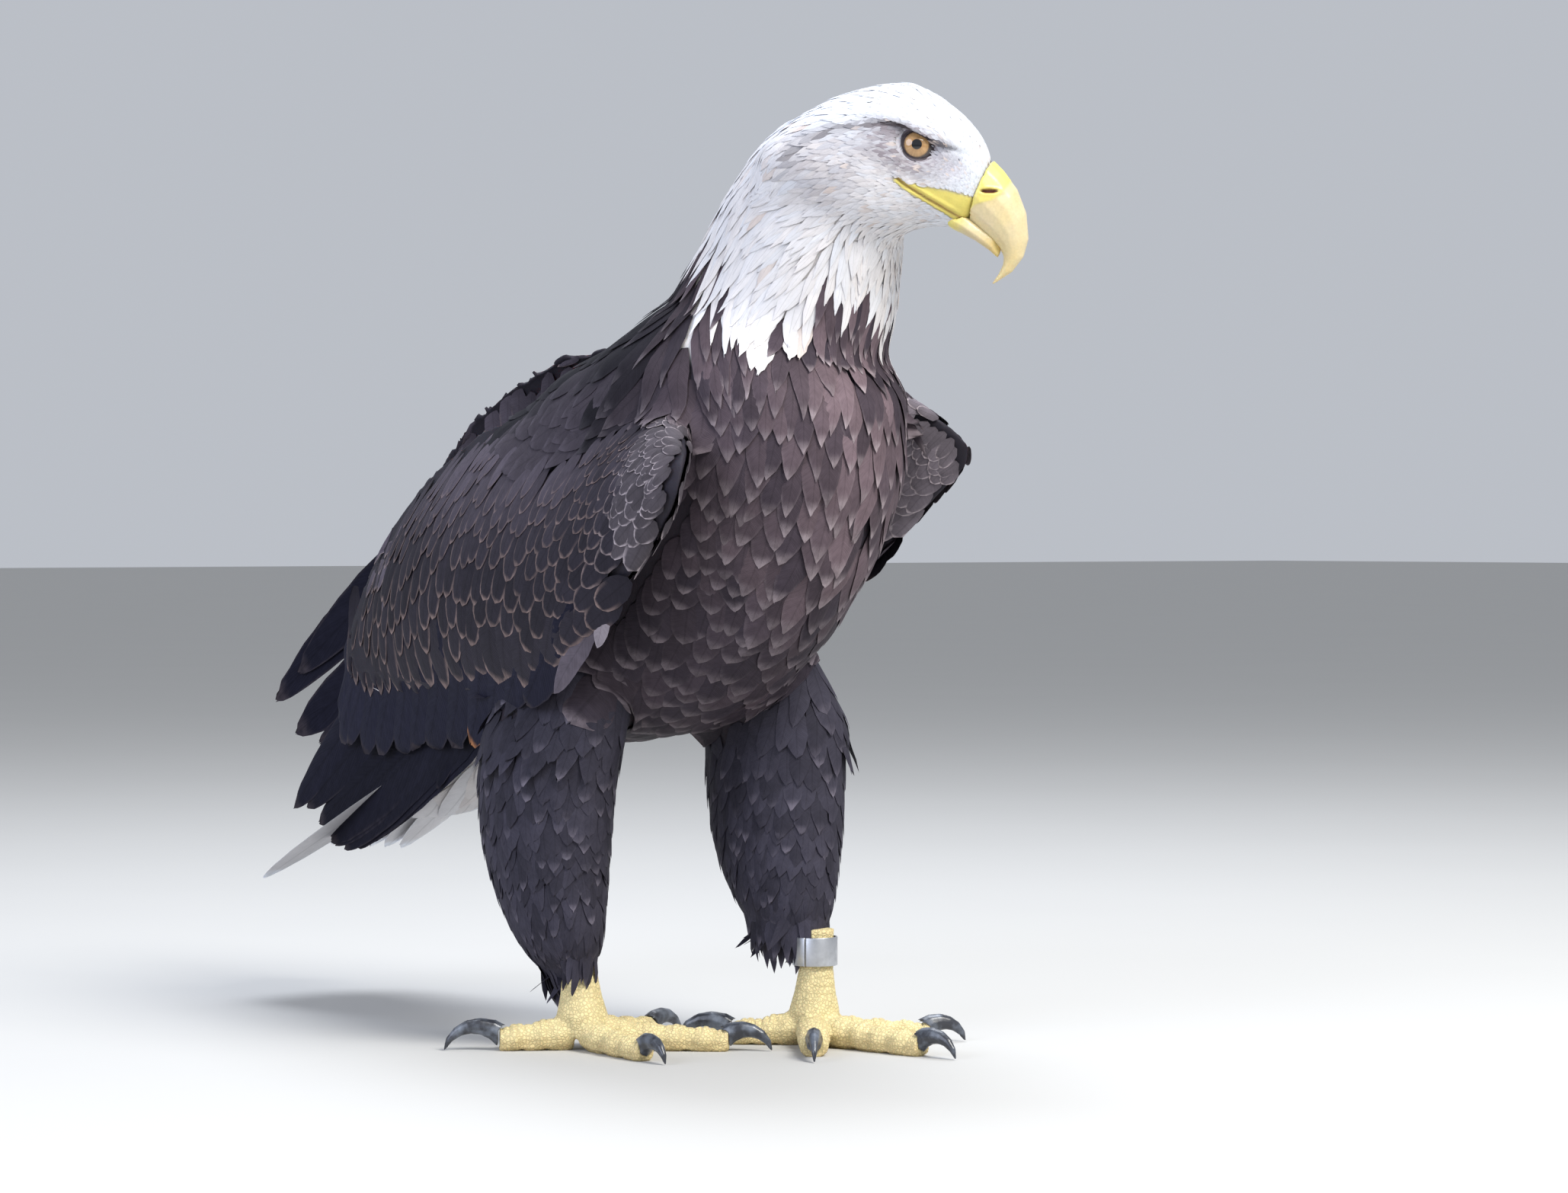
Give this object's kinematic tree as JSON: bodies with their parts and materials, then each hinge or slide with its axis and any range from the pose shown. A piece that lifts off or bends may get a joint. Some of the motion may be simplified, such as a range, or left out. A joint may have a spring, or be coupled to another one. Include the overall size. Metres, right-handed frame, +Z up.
{
  "type": "bald eagle",
  "caption": "Adult bald eagle standing on its own feet, head turned to its left, wings folded, for use as a still life-size model.",
  "frame": {"origin": "centre of the whole bird's floor rectangle, on the floor", "axes": "-Y is the way the body faces, +X is the bird's own left, +Z is up"},
  "size_m": [0.2732, 0.6414, 0.5574],
  "materials": {
    "white_plumage": "matte, soft, fine barbs",
    "brown_plumage": "matte with a weak sheen",
    "covert_plumage": "satin, pale feather margins",
    "flight_feather": "satin vanes with dark shafts",
    "bill_horn": "smooth horn, satin",
    "foot_skin": "scaled skin, matte",
    "claw_horn": "polished dark horn",
    "eye": "wet, clear",
    "band_metal": "dull, lightly scratched, plain"
  },
  "bodies": {
    "root": {"bill_lower": "bill_horn", "bill_upper": "bill_horn", "eye_left": "eye", "eye_right": "eye", "foot_left_hallux": "foot_skin", "foot_left_hallux_claw": "claw_horn", "foot_left_inner_toe": "foot_skin", "foot_left_inner_toe_claw": "claw_horn", "foot_left_middle_toe": "foot_skin", "foot_left_middle_toe_claw": "claw_horn", "foot_left_outer_toe": "foot_skin", "foot_left_outer_toe_claw": "claw_horn", "foot_right_hallux": "foot_skin", "foot_right_hallux_claw": "claw_horn", "foot_right_inner_toe": "foot_skin", "foot_right_inner_toe_claw": "claw_horn", "foot_right_middle_toe": "foot_skin", "foot_right_middle_toe_claw": "claw_horn", "foot_right_outer_toe": "foot_skin", "foot_right_outer_toe_claw": "claw_horn", "head": "white_plumage", "leg_band": "band_metal", "neck": "white_plumage", "tail": "white_plumage", "tarsus_left": "foot_skin", "tarsus_right": "foot_skin", "thigh_left": "brown_plumage", "thigh_right": "brown_plumage", "trunk": "brown_plumage", "wing_left_arm": "covert_plumage", "wing_left_primaries_inner": "flight_feather", "wing_left_primaries_middle": "flight_feather", "wing_left_primaries_outer": "flight_feather", "wing_left_secondaries": "flight_feather", "wing_right_arm": "covert_plumage", "wing_right_primaries_inner": "flight_feather", "wing_right_primaries_middle": "flight_feather", "wing_right_primaries_outer": "flight_feather", "wing_right_secondaries": "flight_feather"}
  },
  "joints": []
}
